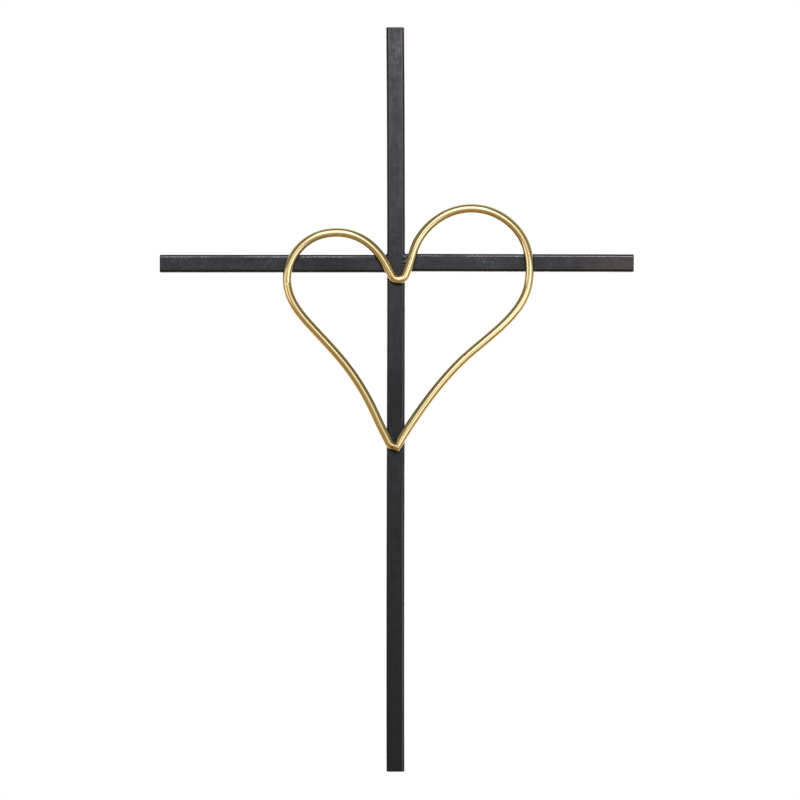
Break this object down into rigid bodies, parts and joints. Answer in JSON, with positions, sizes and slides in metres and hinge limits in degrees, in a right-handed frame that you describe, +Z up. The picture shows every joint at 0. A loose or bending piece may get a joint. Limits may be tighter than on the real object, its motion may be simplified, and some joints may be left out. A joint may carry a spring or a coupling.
{
  "type": "metal wall cross",
  "caption": "Wall cross of blackened square steel bar with a hand-bent heart of brass rod laid across the crossing.",
  "frame": {"origin": "on the back face of the upright, on its centre line, level with the middle of the left arm", "axes": "+Z up along the upright, +Y into the wall, +X to the right as seen from the front"},
  "size_m": [0.1624, 0.0093, 0.255],
  "materials": {
    "blackened_steel": "satin black over mill scale, faintly mottled",
    "brass_rod": "bright drawn rod, lightly tool marked at the bends"
  },
  "bodies": {
    "root": {"upright": "blackened_steel", "arm_left": "blackened_steel", "arm_right": "blackened_steel", "heart": "brass_rod"}
  },
  "joints": []
}
